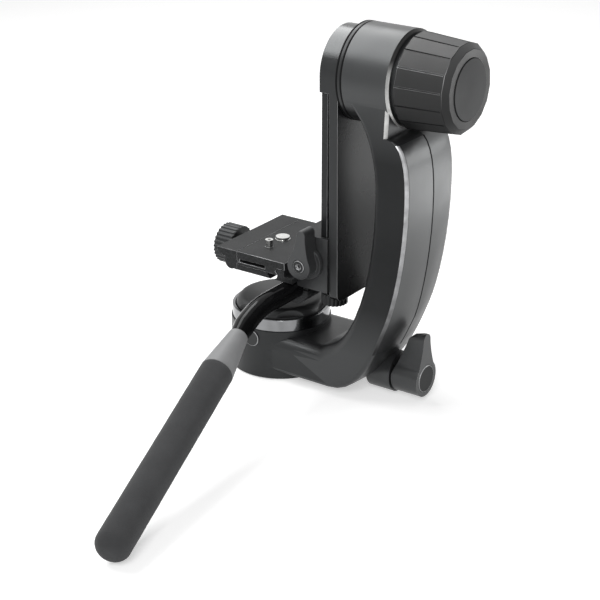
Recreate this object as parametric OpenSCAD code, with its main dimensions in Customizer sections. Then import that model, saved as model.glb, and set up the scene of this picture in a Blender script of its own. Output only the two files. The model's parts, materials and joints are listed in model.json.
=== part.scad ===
// Side-arm gimbal fluid head with a sliding camera cradle and a pan handle.
// Sizes are in millimetres. The origin is the centre of the mounting face on the pan axis.
// Z is up, X runs along the tilt axis towards the drag knob, and the operator stands at -Y.

/* [Base drum] */
// Radius of the drum at its foot
drum_r = 35; // [34.5:0.5:38]
// Height of the drum's top face
drum_h = 35; // [34:0.5:37]
// Narrowing of the drum from foot to top
drum_draft = 0.6; // [0:0.1:1.2]
// Wall of the drum
drum_wall = 5; // [4:0.5:6]
// Thickness of the drum's top
drum_top_t = 4; // [3:0.5:5]
// Clearance of the turning skirt above the mounting face
skirt_lift = 0.8; // [0.5:0.1:1.5]
// Height of the fixed base plate
plate_h = 7; // [6:0.5:8]
// Wall radius of the tripod thread
thread_r = 3.97; // [3.2:0.01:4.2]
// Depth of the tripod thread
thread_depth = 12.5; // [10:0.5:13]
// Outer radius of the thread insert
insert_r = 8; // [7:0.5:9]
// Radius of the spindle's neck in the pan bearing
neck_r = 11; // [10:0.5:12]
// Outer radius of the pan bearing
pan_bearing_r = 17; // [16:0.5:18]
// Height of the polished ring
ring_h = 8.5; // [6:0.5:10]
// Outer radius of the polished ring
ring_r = 33.6; // [33:0.1:34]
// Radius of the pan drag knob
dome_r = 31; // [28:0.5:31.5]
// Height of the pan drag knob above the polished ring
dome_rise = 6.6; // [5:0.2:8]
// Number of finger scallops on the pan drag knob
dome_scallops = 6; // [4:1:8]
// Radius of the round plug on the drum
plug_r = 5.7; // [4:0.1:6.5]

/* [Side arm] */
// Half depth of the arm
arm_depth = 30; // [28:0.5:32]
// Outermost reach of the arm's front edge from the pan axis
arm_reach = 117.1; // [114:0.1:122]
// Reach of the arm's inner edge at its widest
arm_inner = 92; // [88:0.5:95]
// Crown of the outer spine at the heel
arm_crown = 3.7; // [0.5:0.1:5]
// Rounding of the front outer edge
arm_edge_r = 3; // [2:0.5:6]
// Rounding of the cover's outer edge
cover_edge_r = 8; // [4:0.5:10]
// Rounding of the inner edges
arm_inner_r = 4.5; // [2:0.5:6]
// Rounding of the foot's upper edges, where the arm meets the drum
foot_round = 9; // [4:0.5:10]
// Flare of the foot's sides towards the drum
foot_flare = 1.5; // [0:0.1:2]
// Wall of the hollow arm
arm_wall = 6; // [5:0.5:8]
// Underside of the foot
foot_z = 5.5; // [4:0.5:8]
// Top of the foot
foot_top = 32; // [30:0.5:33.5]

/* [Tilt unit] */
// Height of the tilt axis
tilt_z = 217; // [210:1:230]
// Radius of the tilt barrel
barrel_r = 31.5; // [31:0.5:33]
// Distance from the pan axis to the barrel's inner end
barrel_x = 67.8; // [65:0.2:70]
// Length of the barrel
barrel_len = 34; // [32:0.2:40]
// Thickness of the barrel's end cap
end_cap_t = 3.7; // [2:0.1:5]
// Radius of the tilt shaft
tilt_shaft_r = 9; // [8:0.5:10]
// Outer radius of the tilt bearings
tilt_bearing_r = 17; // [16:0.5:18]
// Width of a tilt bearing
tilt_bearing_w = 5; // [4:0.5:5.5]
// Number of turning drag discs
drag_discs = 3; // [2:1:3]
// Radius of the drag knob at its back
knob_r = 30.9; // [30:0.1:32]
// Radius of the drag knob at its front
knob_front_r = 28.6; // [27:0.1:29.5]
// Length of the drag knob
knob_len = 36.3; // [32:0.1:40]
// Number of flats on the drag knob
knob_flats = 16; // [14:1:18]
// Gap between barrel and drag knob
knob_gap = 2.9; // [2:0.1:4]
// Radius of the disc in the knob's face
knob_cap_r = 19.3; // [15:0.1:21]

/* [Swing arm] */
// Thickness of the swing arm's plate
swing_t = 6.4; // [5:0.1:7]
// Half width of the swing arm at the tilt axis
swing_w = 28; // [26:0.5:29]
// Half width of the swing arm at its lower end
swing_low_w = 26.2; // [25.6:0.1:28]
// Lower end of the swing arm
swing_low_z = 66.5; // [64:0.5:70]
// Half width of the rail's lip
lip_w = 25.2; // [24:0.1:25.5]
// Thickness of the rail's lip
lip_t = 4.5; // [4:0.1:5]
// Half width of the rail's neck
rail_neck_w = 21.5; // [19:0.5:22]
// Thickness of the rail's neck
rail_neck_t = 2.6; // [2.4:0.1:4.5]

/* [Cradle] */
// Underside of the rail bracket
bracket_z = 72.5; // [71:0.5:75]
// Height of the rail bracket
bracket_h = 37.5; // [34:0.5:42]
// Half width of the rail bracket
bracket_w = 28; // [27.5:0.5:30]
// Thickness of the bracket behind the rail
bracket_back = 16.7; // [15:0.1:18]
// Top of the camera plate
plate_top_z = 89; // [88:0.5:91]
// Half width of the clamp across the plate
clamp_w = 27.6; // [26:0.2:30]
// Length of the clamp and plate towards the operator
clamp_front = 35; // [30:0.5:40]
// Length of the clamp and plate away from the operator
clamp_rear = 40; // [35:0.5:45]
// Thickness of the cradle's floor
floor_t = 3.5; // [3:0.1:4.5]
// Underside of the cradle's floor
floor_z = 76; // [75:0.5:77]
// Width of the moving jaw
jaw_w = 16.2; // [14:0.2:17]
// Opening travel of the jaw
jaw_travel = 3; // [2.5:0.1:4]
// Radius of the clamp knob
clamp_knob_r = 14; // [11:0.1:15]
// Length of the clamp knob
clamp_knob_len = 13.6; // [10:0.1:15]
// Height of the clamp screw
clamp_screw_z = 75.5; // [74:0.5:76]
// Radius of the clamp screw
clamp_screw_r = 3; // [2.5:0.1:3.5]
// Radius of the camera screw
camera_screw_r = 4.76; // [3.1:0.01:4.8]
// Rise of the camera screw above the plate
camera_screw_rise = 1.8; // [1:0.1:4]
// Radius of the index pin
index_pin_r = 2.65; // [2:0.05:3]
// Rise of the index pin above the plate
index_pin_rise = 5; // [4:0.1:6]

/* [Levers] */
// Height of the pan lock's axis
lock_z = 16.7; // [16:0.1:18]
// Distance of the pan lock's boss end inside the arm's reach
lock_inset = 20.4; // [18:0.2:24]
// Radius of the pan lock's boss
lock_boss_r = 13.8; // [13:0.1:16]
// Radius of the pan lock lever round its axis
lock_lever_r = 12.5; // [11:0.1:14]
// Length of the pan lock lever from axis to tip
lock_lever_len = 32; // [28:0.1:38]
// Depth of the pan lock lever along its axis
lock_lever_t = 19.5; // [16:0.5:26]
// Radius of the height lever round its axis
height_lever_r = 8.7; // [7:0.1:9.5]
// Length of the height lever from axis to tip
height_lever_len = 25; // [20:0.5:30]
// Thickness of the height lever
height_lever_t = 11.6; // [8:0.2:13]
// Lean of the height lever towards the rail
height_lean = 4.5; // [0:0.5:10]

/* [Handle] */
// Distance of the handle's rod from the pan axis
handle_x = 28; // [26:0.5:29]
// Height of the handle's rod
handle_z = 68.5; // [68:0.1:70]
// Radius of the rod
rod_r = 7; // [6:0.1:7.5]
// Radius of the rod where it enters the grip
rod_thin_r = 5.8; // [5:0.1:6]
// Distance of the bend in front of the tilt axis
bend_y = 69; // [60:0.5:80]
// Angle of the bend
bend_angle = 20.7; // [15:0.1:30]
// Turn of the bent part from straight down towards the arm
handle_turn = 43; // [0:1:90]
// Radius of the bend
bend_r = 100; // [60:5:130]
// Distance from the bend to the collar
collar_start = 28; // [22:0.5:35]
// Length of the cone collar
collar_len = 36.4; // [25:0.1:45]
// Radius of the grip
grip_r = 10.8; // [9:0.1:13]
// Length of the grip
grip_len = 158; // [120:1:180]
// Rounding of the grip's end
grip_end_r = 8; // [3:0.5:9]
// Radius of the handle clamp knob
pinch_knob_r = 9; // [7:0.1:9.4]
// Length of the handle clamp knob
pinch_knob_h = 10.5; // [8:0.5:11]

/* [Hidden] */

$fn = 72;
// Overshoot of cuts past the faces they open
over = 1;
// Radial clearance of a running shaft
run_gap = 0.05;
// Radial clearance of a seated piece
seat_gap = 0.02;
// Clearance between pieces that slide or pass each other
slide_gap = 0.3;
// Clearance of the seam between casting and cover
seam = 0.12;

casting_colour = "#323335";
cover_colour = "#2e2f31";
rubber_colour = "#2a2b2c";
metal_colour = "#c9cbcd";
chrome_colour = "#8d9093";
brass_colour = "#b59a57";
grey_colour = "#6d6e6f";

// Places along the tilt axis, from the cradle to the drag knob
barrel_x1 = barrel_x + barrel_len;
end_cap_x = barrel_x - end_cap_t;
swing_x1 = end_cap_x - 2 * slide_gap;
swing_x = swing_x1 - swing_t;
lip_x1 = swing_x - rail_neck_t;
lip_x = lip_x1 - lip_t;
shaft_x = lip_x + 3;
bracket_x1 = swing_x - slide_gap;
bracket_x = lip_x - slide_gap - bracket_back;
knob_x = barrel_x1 + knob_gap;
knob_x1 = knob_x + knob_len;

// Tilt unit
spigot_r = barrel_r - 4;
cavity_r = barrel_r - 4.5;
barrel_wall_t = 10.8;
cavity_x1 = barrel_x1 - barrel_wall_t;
cap_spigot_len = tilt_bearing_w + 0.7;
thread_shaft_r = tilt_shaft_r - 2;
shaft_flange_w = 9;
shaft_flange_r = tilt_shaft_r + shaft_flange_w;
shaft_shoulder = 6.8;
shaft_end_inset = 17;
rim_round = 1.6;
disc_t = 2;
stack_x = barrel_x + cap_spigot_len;
stack_step = (cavity_x1 - stack_x) / (drag_discs + 0.5);
spring_x = cavity_x1 + tilt_bearing_w + slide_gap;
knob_hub_r = 12;
knob_hub_x = spring_x + 7;
knob_chamfer = 3.6;
knob_edge = 1;
knob_recess = 1.5;
knob_taper = atan((knob_r - knob_front_r) / knob_len);

// Drum and pan unit
plate_r = drum_r - drum_wall + 1;
flange_z = plate_h;
flange_t = 6.5;
flange_r = plate_r - 6;
brake_z = flange_z + flange_t;
brake_t = 6.5;
shoulder_r = neck_r + 3;
bearing_z = drum_h - 8;
bearing_t = 7;
nut_z = bearing_z + bearing_t + 0.1;
nut_t = 3.6;
spindle_top_z = nut_z + nut_t + 1.4;
stud_r = 4;
hub_r = pan_bearing_r + 4;
base_screw_r = 2;
base_screw_ring = (insert_r + flange_r) / 2 + 0.5;
ring_top_z = drum_h + ring_h;
dome_top_z = ring_top_z + dome_rise;
dome_skirt_z = ring_top_z - 5.5;
dome_wall = 3;
dome_fillet = 6;
scallop_r = 40;
scallop_depth = 2.6;
scallop_turn = -43;

plug_z = drum_h - 6.5;

// Side arm
arm_mid_z = foot_top + 0.62 * (tilt_z - foot_top);
cover_top_z = tilt_z - 20;
cover_low_z = foot_top + 8;
cover_wall = 5;
lock_screw_r = 4;
lock_boss_x = arm_reach - lock_inset;
lock_boss_x0 = lock_boss_x - 18;
cover_screw_r = 2;
cover_screw_places = [0.6, 1.1, 1.55, 1.95];

// Cradle
floor_top = floor_z + floor_t;
bracket_top = bracket_z + bracket_h;
clamp_mid_y = (clamp_rear - clamp_front) / 2;
jaw_x1 = -clamp_w + jaw_w;
plate_x = jaw_x1 + slide_gap;
plate_slab_z = plate_top_z - 5;
ridge_z = (floor_top + plate_slab_z) / 2 + 0.2;
ridge_h = 1.3;
wall_x = clamp_w - 5.6;
keel_x = wall_x - 0.4;
rib_w = 10.5;
rib_z = clamp_screw_z - clamp_screw_r - 3.5;
jaw_boss_r = 8.5;
jaw_boss_len = 6.1;
jaw_boss_x = -clamp_w - slide_gap - jaw_boss_len;
clamp_knob_x1 = jaw_boss_x - 1.9;
clamp_screw_x = clamp_knob_x1 - clamp_knob_len + 3;
clamp_screw_x1 = 12;
camera_screw_y = clamp_mid_y - 0.5;
camera_head_r = camera_screw_r + 3.2;
camera_shank_r = camera_screw_r + 0.3;
index_pin_y = camera_screw_y - 17;
index_flange_r = index_pin_r + 0.8;
index_flange_t = 0.8;
index_guide_z = plate_top_z - 3.6;
index_pin_x = 1;
slot_x = plate_x + ridge_h + 3 * slide_gap;
slot_len = 20.8;
slot_h = 2.3;

// Levers
height_lever_x = bracket_x + 9.5;
height_lever_z = bracket_z + 19.5;
height_lever_y1 = -bracket_w - 2 * slide_gap;
height_stud_r = 3.5;
lock_lever_x = lock_boss_x + 0.8;
lock_tip_r = 4.2;
lock_slant = 8.4;
lock_tip_drop = 3.9;
lever_waist = 1.5;
lock_cap_r = 9.1;
lock_cap_t = 1.4;
height_tip_r = 3.2;
height_cap_r = 4.2;
height_skirt_r = height_lever_r + 2.5;
height_skirt_t = 3;
height_cap_t = 1.5;

// Handle
socket_r = rod_r + 4;
socket_front = -24;
socket_rear = 22;
rod_rear = socket_rear - 4.2;
pinch_x = handle_x + 16;
pinch_ear_x = lip_x - slide_gap;
pinch_ear_z = handle_z - 4;
pinch_ear_w = 10;
pinch_stud_top = bracket_z + 9;
pinch_stud_r = 3;
pinch_slot = 1;
channel_x = pinch_x + pinch_knob_r + slide_gap;
channel_w = pinch_knob_r + 2 * slide_gap;
bend_tangent = bend_r * tan(bend_angle / 2);
grip_start = collar_start + collar_len;

// Straight cylinders along each axis
module x_cyl(r, x0, x1, y = 0, z = 0) translate([x0, y, z]) rotate([0, 90, 0]) cylinder(r = r, h = x1 - x0);
module y_cyl(r, y0, y1, x = 0, z = 0) translate([x, y0, z]) rotate([-90, 0, 0]) cylinder(r = r, h = y1 - y0);
module z_cyl(r, z0, z1, x = 0, y = 0) translate([x, y, z0]) cylinder(r = r, h = z1 - z0);

// Block between two corners
module block(x, y, z) translate([x[0], y[0], z[0]]) cube([x[1] - x[0], y[1] - y[0], z[1] - z[0]]);

// Outline in the XZ plane, drawn out along Y
module along_y(y0, y1) translate([0, y1, 0]) rotate([90, 0, 0]) linear_extrude(y1 - y0) children();

// Outline in the YZ plane, drawn out along X
module along_x(x0, x1) translate([x0, 0, 0]) rotate([90, 0, 90]) linear_extrude(x1 - x0) children();

module ring(r_out, r_in, h) {
    difference() {
        cylinder(r = r_out, h = h);
        translate([0, 0, -over]) cylinder(r = r_in, h = h + 2 * over);
    }
}

// Cap screw standing on its head seat, with its head below and its shank above
function head_h(r) = 1.7 * r;
function head_r(r) = 1.75 * r;
module cap_screw(r, length, tall = 0) {
    h = tall > 0 ? tall : head_h(r);
    difference() {
        union() {
            cylinder(r = r, h = length);
            translate([0, 0, -h]) cylinder(r = head_r(r), h = h);
        }
        translate([0, 0, -h - over]) cylinder(r = 0.9 * r, h = over + 0.55 * h, $fn = 6);
    }
}

// Hole that takes a cap screw, open on the side of its head
module screw_hole(r, length, open, tall = 0) {
    h = tall > 0 ? tall : head_h(r);
    translate([0, 0, -over]) cylinder(r = r + run_gap, h = length + over + slide_gap);
    translate([0, 0, -h - open]) cylinder(r = head_r(r) + slide_gap, h = h + open);
}

// Round knob with grooves along its side
module ribbed_knob(r, h, grooves) {
    groove_r = 0.36 * 2 * PI * r / grooves;
    difference() {
        cylinder(r = r, h = h);
        for (i = [0:grooves - 1])
            rotate(360 * i / grooves) z_cyl(groove_r, -over, h + over, r + 0.3 * groove_r, 0);
    }
}

// Outline of a lever: a round hub and a round tip with hollow flanks between them
module lever_outline(r, tip_r, reach) {
    steps = 10;
    circle(r = r);
    translate([0, reach]) circle(r = tip_r);
    polygon(concat(
        [for (k = [0:steps]) [tip_r + (r - tip_r) * pow(1 - k / steps, lever_waist), reach * k / steps]],
        [for (k = [steps:-1:0])
            [-tip_r - (r - tip_r) * pow(1 - k / steps, lever_waist), reach * k / steps]]));
}

// Curves of the side arm in the XZ plane: elliptic shoulders above, four control points each below
function bezier(p, t) =
    pow(1 - t, 3) * p[0] + 3 * t * pow(1 - t, 2) * p[1] + 3 * t * t * (1 - t) * p[2] + pow(t, 3) * p[3];
function mix(a, b, t) = a + (b - a) * t;

heel = [arm_reach - 13.7, foot_top + 27.5];
outer_back = [[arm_reach, arm_mid_z], [arm_reach, arm_mid_z - 35], heel + [7, 17.5], heel];
outer_heel = [heel, heel - [9, 22.5], [arm_reach - 34, foot_z], [arm_reach - 58, foot_z]];
inner_low = [[arm_inner, arm_mid_z], [arm_inner, arm_mid_z - 42],
    [arm_inner - 8.5, foot_top + 9], [arm_inner - 42, foot_top]];
heel_share = 0.62;
foot_x = 10;
shoulder_x = barrel_x1 - 1;
shoulder_z = tilt_z - barrel_r + 0.5;
shoulder_power = 2.6;
throat_x = end_cap_x - 0.1;
throat_z = tilt_z - 13;

// Height of the level sections, from inside the barrel to the widest part of the arm
function level(u) =
    u < 0 ? mix(shoulder_z, tilt_z - 4, -u)
    : arm_mid_z + (shoulder_z - arm_mid_z) * cos(90 * u);
function throat(z) =
    let (rise = (z - arm_mid_z) / (throat_z - arm_mid_z))
    throat_x + (arm_inner - throat_x) * sqrt(max(0, 1 - rise * rise));

function shoulder(u) = u < 0 ? 0 : pow(1 - pow(cos(90 * u), shoulder_power), 1 / shoulder_power);

// Outer and inner edge at station u: -1 inside the barrel, 0 to 3 down the arm, 4 inside the drum
function outer_edge(u) =
    u <= 1 ? [mix(shoulder_x, arm_reach, shoulder(u)), level(u)]
    : u <= 2 ? bezier(outer_back, u - 1)
    : u <= 3 ? bezier(outer_heel, u - 2)
    : mix(outer_heel[3], [foot_x, foot_z + 1], u - 3);
function inner_edge(u) =
    u <= 1 ? [max(barrel_x + 0.8, throat(level(u))), level(u)]
    : u <= 2 ? bezier(inner_low, heel_share * (u - 1))
    : u <= 3 ? bezier(inner_low, mix(heel_share, 1, u - 2))
    : mix(inner_low[3], [foot_x, foot_top - 1], u - 3);
function half_depth(u) =
    u < 0 ? mix(arm_depth, barrel_r - 3.5, -u)
    : u <= 3 ? arm_depth
    : mix(arm_depth, arm_depth + foot_flare, u - 3);
least_crown = 0.02;
function crown(u) =
    max(least_crown, arm_crown * (u <= 0 ? 0 : u < 2 ? pow(u / 2, 1.9) : u < 3 ? 3 - u : 0));

// Half of the arm's section at station u, from the seam round the front edge and back to the seam
function half_section(u, side, gap) =
    let (
        i = inner_edge(u),
        o = outer_edge(u),
        wide = norm(o - i),
        dir = (o - i) / wide,
        d = half_depth(u),
        edge = side < 0 ? arm_edge_r : cover_edge_r,
        soft = mix(arm_inner_r, foot_round, max(0, min(1, u - 2))),
        flat = d - edge,
        profile = concat(
            [[0, gap]],
            [for (a = [0:22.5:90]) [soft * (1 - cos(a)), d - soft * (1 - sin(a))]],
            [for (a = [0:18:90]) [wide - edge * (1 - sin(a)), d - edge * (1 - cos(a))]],
            [for (k = [1:4]) let (b = mix(flat, gap, k / 4)) [wide + crown(u) * (1 - pow(b / flat, 2)), b]]
        )
    )
    [for (p = profile) [i[0] + dir[0] * p[0], side * p[1], i[1] + dir[1] * p[0]]];

// Solid through a row of sections with the same number of points
module loft(sections) {
    m = len(sections[0]);
    n = len(sections);
    sides = [for (s = [0:n - 2], k = [0:m - 1])
        let (a = s * m + k, b = s * m + (k + 1) % m)
        each [[a, b + m, b], [a, a + m, b + m]]];
    first = [for (k = [0:m - 1]) k];
    last = [for (k = [m - 1:-1:0]) (n - 1) * m + k];
    polyhedron(points = [for (s = sections, p = s) p], faces = concat(sides, [first, last]));
}

arm_stations = concat([-1, -0.75, -0.5, -0.25], [for (k = [0:8]) k / 8], [for (k = [1:8]) 1 + k / 8],
    [for (k = [1:10]) 2 + k / 10], [3.5, 4]);

// One half of the arm: side -1 is the operator's half, side 1 is the far half
module arm_half(side, gap = 0) {
    stations = side > 0 ? arm_stations : [for (k = [len(arm_stations) - 1:-1:0]) arm_stations[k]];
    loft([for (u = stations) half_section(u, side, gap)]);
}

// Hollow of the arm on one side of the seam
function inset(u, from_outer) =
    let (i = inner_edge(u), o = outer_edge(u), dir = (o - i) / norm(o - i))
    from_outer ? o - arm_wall * dir : i + arm_wall * dir;
hollow_span = [0.45, 2.04];
module arm_hollow(y0, y1) {
    stations = [for (k = [0:12]) mix(hollow_span[0], hollow_span[1], k / 12)];
    back = [for (k = [len(stations) - 1:-1:0]) stations[k]];
    along_y(y0, y1) polygon(concat([for (u = stations) inset(u, true)], [for (u = back) inset(u, false)]));
}

function arm_middle(u) = (outer_edge(u) + inner_edge(u)) / 2;
hollow_depth = arm_depth - cover_wall;
cover_seat_y = hollow_depth + 1.6;

// Bosses in the casting for the cover's screws
module cover_bosses() {
    for (u = cover_screw_places)
        let (p = arm_middle(u)) y_cyl(2.5 * cover_screw_r, -arm_depth, over, p[0], p[1]);
}

// Places the screws, or their holes, along the arm
module at_cover_screws() {
    for (u = cover_screw_places)
        let (p = arm_middle(u)) translate([p[0], cover_seat_y, p[1]]) rotate([90, 0, 0]) children();
}
cover_screw_len = cover_seat_y + 12;

// Fixed base

module base_plate() {
    color(casting_colour) difference() {
        z_cyl(plate_r, 0, plate_h);
        z_cyl(insert_r + seat_gap, -over, plate_h + over);
        at_base_screws() screw_hole(base_screw_r, plate_h, over);
    }
}

module at_base_screws() {
    for (a = [45:90:315])
        rotate(a) translate([base_screw_ring, 0, head_h(base_screw_r) + 0.6]) children();
}

module thread_insert() {
    color(brass_colour) difference() {
        z_cyl(insert_r, 0, thread_depth + 1.5);
        z_cyl(thread_r, -over, thread_depth);
    }
}

module base_screws() {
    color(metal_colour) at_base_screws() cap_screw(base_screw_r, plate_h + 2);
}

module pan_spindle() {
    color(metal_colour) difference() {
        union() {
            z_cyl(flange_r, flange_z, brake_z);
            z_cyl(shoulder_r, flange_z, bearing_z);
            z_cyl(neck_r, flange_z, spindle_top_z);
        }
        z_cyl(insert_r + seat_gap, flange_z - over, thread_depth + 1.6);
        z_cyl(stud_r + run_gap, thread_depth + 4, spindle_top_z + over);
        at_base_screws() screw_hole(base_screw_r, plate_h + 2, 0);
    }
}

module pan_brake_drum() {
    color(grey_colour) translate([0, 0, brake_z]) ring(flange_r, shoulder_r + seat_gap, brake_t);
}

module spindle_nut() {
    color(metal_colour) difference() {
        translate([0, 0, nut_z]) cylinder(r = neck_r + 4.5, h = nut_t, $fn = 6);
        z_cyl(neck_r + seat_gap, nut_z - over, nut_z + nut_t + over);
    }
}

// Turning arm

module drum_body() {
    translate([0, 0, skirt_lift]) cylinder(r1 = drum_r, r2 = drum_r - drum_draft, h = drum_h - skirt_lift);
}

module drum_hollow() {
    z_cyl(plate_r + slide_gap, -over, plate_h + slide_gap);
    difference() {
        z_cyl(drum_r - drum_wall, plate_h, drum_h - drum_top_t);
        z_cyl(hub_r, bearing_z - 2, drum_h);
    }
    z_cyl(pan_bearing_r + seat_gap, bearing_z - 2 - over, drum_h + over);
}

module barrel_hollow() {
    x_cyl(cavity_r, barrel_x - over, cavity_x1, 0, tilt_z);
    x_cyl(tilt_bearing_r + seat_gap, cavity_x1 - over, cavity_x1 + tilt_bearing_w, 0, tilt_z);
    x_cyl(knob_hub_r + slide_gap, cavity_x1, knob_x, 0, tilt_z);
}

module arm_casting() {
    color(casting_colour) difference() {
        union() {
            drum_body();
            arm_half(-1);
            intersection() {
                arm_half(1);
                union() {
                    block([0, 2 * arm_reach], [-over, 2 * arm_depth], [0, cover_low_z]);
                    block([0, 2 * arm_reach], [-over, 2 * arm_depth], [cover_top_z, tilt_z]);
                }
            }
            x_cyl(barrel_r, barrel_x, barrel_x1 - rim_round, 0, tilt_z);
            translate([barrel_x1 - rim_round, 0, tilt_z]) rotate([0, 90, 0])
                cylinder(r1 = barrel_r, r2 = barrel_r - rim_round, h = rim_round);
            x_cyl(spigot_r, barrel_x1 - over, knob_x - 2 * slide_gap, 0, tilt_z);
            x_cyl(lock_boss_r, lock_boss_x0, lock_boss_x, 0, lock_z);
        }
        drum_hollow();
        barrel_hollow();
        difference() {
            arm_hollow(-hollow_depth, 0);
            cover_bosses();
        }
        at_cover_screws() screw_hole(cover_screw_r, cover_screw_len, over);
        x_cyl(lock_screw_r + run_gap, drum_r - drum_wall - 4, lock_boss_x + over, 0, lock_z);
        y_cyl(plug_r + seat_gap, -drum_r - over, -drum_r + drum_wall + over, 0, plug_z);
    }
}

module back_cover() {
    color(cover_colour) difference() {
        arm_half(1, seam);
        block([0, 2 * arm_reach], [-over, 2 * arm_depth], [-over, cover_low_z + seam]);
        block([0, 2 * arm_reach], [-over, 2 * arm_depth], [cover_top_z - seam, tilt_z]);
        x_cyl(barrel_r + seam, barrel_x - over, barrel_x1 + over, 0, tilt_z);
        arm_hollow(-over, hollow_depth);
        at_cover_screws() screw_hole(cover_screw_r, cover_screw_len, 2 * arm_depth);
    }
}

module cover_screws() {
    color(metal_colour) at_cover_screws() cap_screw(cover_screw_r, cover_screw_len);
}

module trim_ring() {
    color(chrome_colour) translate([0, 0, drum_h]) ring(ring_r, dome_r + 0.5, ring_h);
}

module drum_plug() {
    color(rubber_colour) y_cyl(plug_r, -drum_r - 0.3, -drum_r + drum_wall, 0, plug_z);
}

module pan_bearing() {
    color(metal_colour) translate([0, 0, bearing_z + run_gap])
        ring(pan_bearing_r, neck_r + run_gap, bearing_t);
}

module pan_brake_shoe() {
    color(grey_colour) difference() {
        block([0, flange_r + 3.6], [-7, 7], [brake_z + 0.4, brake_z + brake_t - 0.4]);
        z_cyl(flange_r + slide_gap, brake_z, brake_z + brake_t);
    }
}

module barrel_end_cap() {
    color(casting_colour) difference() {
        union() {
            x_cyl(barrel_r, end_cap_x, barrel_x, 0, tilt_z);
            x_cyl(cavity_r - seat_gap, barrel_x - over, stack_x, 0, tilt_z);
        }
        x_cyl(shaft_flange_r + slide_gap, end_cap_x - over, barrel_x, 0, tilt_z);
        x_cyl(tilt_bearing_r + seat_gap, barrel_x - over, stack_x + over, 0, tilt_z);
    }
}

module tilt_bearing(x) {
    translate([x, 0, tilt_z]) rotate([0, 90, 0]) ring(tilt_bearing_r, tilt_shaft_r + run_gap, tilt_bearing_w);
}

module tilt_bearing_inner() {
    color(metal_colour) tilt_bearing(stack_x - tilt_bearing_w);
}

module tilt_bearing_outer() {
    color(metal_colour) tilt_bearing(cavity_x1);
}

module tilt_drag_plates() {
    color(grey_colour) for (i = [0:drag_discs])
        let (space = i < drag_discs ? stack_step - disc_t : stack_step / 2)
        translate([stack_x + i * stack_step + 0.1, 0, tilt_z]) rotate([0, 90, 0])
            ring(cavity_r - seat_gap, tilt_shaft_r + 2, space - 0.6);
}

module tilt_disc_spring() {
    washer = 1.2;
    cone = 1.1;
    inner = tilt_shaft_r + run_gap;
    color(metal_colour) translate([spring_x, 0, tilt_z]) rotate([0, 90, 0])
        rotate_extrude() polygon(concat(
            [for (k = [0:4]) [inner, k * washer + (k % 2) * cone]],
            [for (k = [4:-1:0]) [knob_hub_r - 0.4, k * washer + (1 - k % 2) * cone + 0.4]]));
}

// Pan drag knob

module pan_drag_knob() {
    flat_r = dome_r - dome_fillet;
    fillet_z = dome_top_z - 0.8 - dome_fillet;
    inner_r = dome_r - dome_wall;
    color(cover_colour) difference() {
        union() {
            rotate_extrude() polygon(concat(
                [[inner_r, dome_skirt_z], [dome_r, dome_skirt_z]],
                [for (a = [0:10:90]) [flat_r + dome_fillet * cos(a), fillet_z + dome_fillet * sin(a)]],
                [[0, dome_top_z], [0, dome_top_z - dome_wall], [flat_r, dome_top_z - dome_wall - 0.8],
                [inner_r, fillet_z]]));
            z_cyl(2 * stud_r, spindle_top_z + slide_gap, dome_top_z - dome_wall);
        }
        z_cyl(stud_r + seat_gap, spindle_top_z, dome_top_z - dome_wall);
        for (i = [0:dome_scallops - 1])
            rotate(scallop_turn + 360 * i / dome_scallops)
                z_cyl(scallop_r, ring_top_z + 0.6, dome_top_z + over, dome_r + scallop_r - scallop_depth, 0);
    }
}

module pan_drag_stud() {
    color(metal_colour) z_cyl(stud_r, thread_depth + 6, dome_top_z - dome_wall);
}

// Pan lock

module pan_lock_lever() {
    x1 = lock_lever_x + lock_lever_t;
    tip_z = lock_z + lock_lever_len;
    color(casting_colour) difference() {
        intersection() {
            along_x(lock_lever_x, x1) translate([0, lock_z])
                lever_outline(lock_lever_r, lock_tip_r, lock_lever_len - lock_tip_r);
            along_y(-lock_boss_r, lock_boss_r) polygon([
                [lock_lever_x, lock_z - lock_lever_r - over], [x1, lock_z - lock_lever_r - over],
                [x1, tip_z], [lock_lever_x + lock_slant, tip_z - lock_tip_drop], [lock_lever_x, lock_z + 3]]);
        }
        x_cyl(lock_cap_r + slide_gap, x1 - lock_cap_t, x1 + over, 0, lock_z);
        x_cyl(lock_screw_r + seat_gap, lock_lever_x - over, x1 - 5, 0, lock_z);
    }
}

module pan_lever_cap() {
    x1 = lock_lever_x + lock_lever_t;
    color(cover_colour) x_cyl(lock_cap_r, x1 - lock_cap_t, x1 + slide_gap, 0, lock_z);
}

module pan_lock_screw() {
    color(metal_colour) x_cyl(lock_screw_r, flange_r + 3.7, lock_lever_x + lock_lever_t - 5.2, 0, lock_z);
}

// Tilt drag knob

function knob_corner(i) = 360 * (i + 0.73) / knob_flats;
function knob_ring(x, r) = [for (i = [0:knob_flats - 1])
    let (a = knob_corner(i)) [x, r * cos(a), tilt_z + r * sin(a)]];

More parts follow.
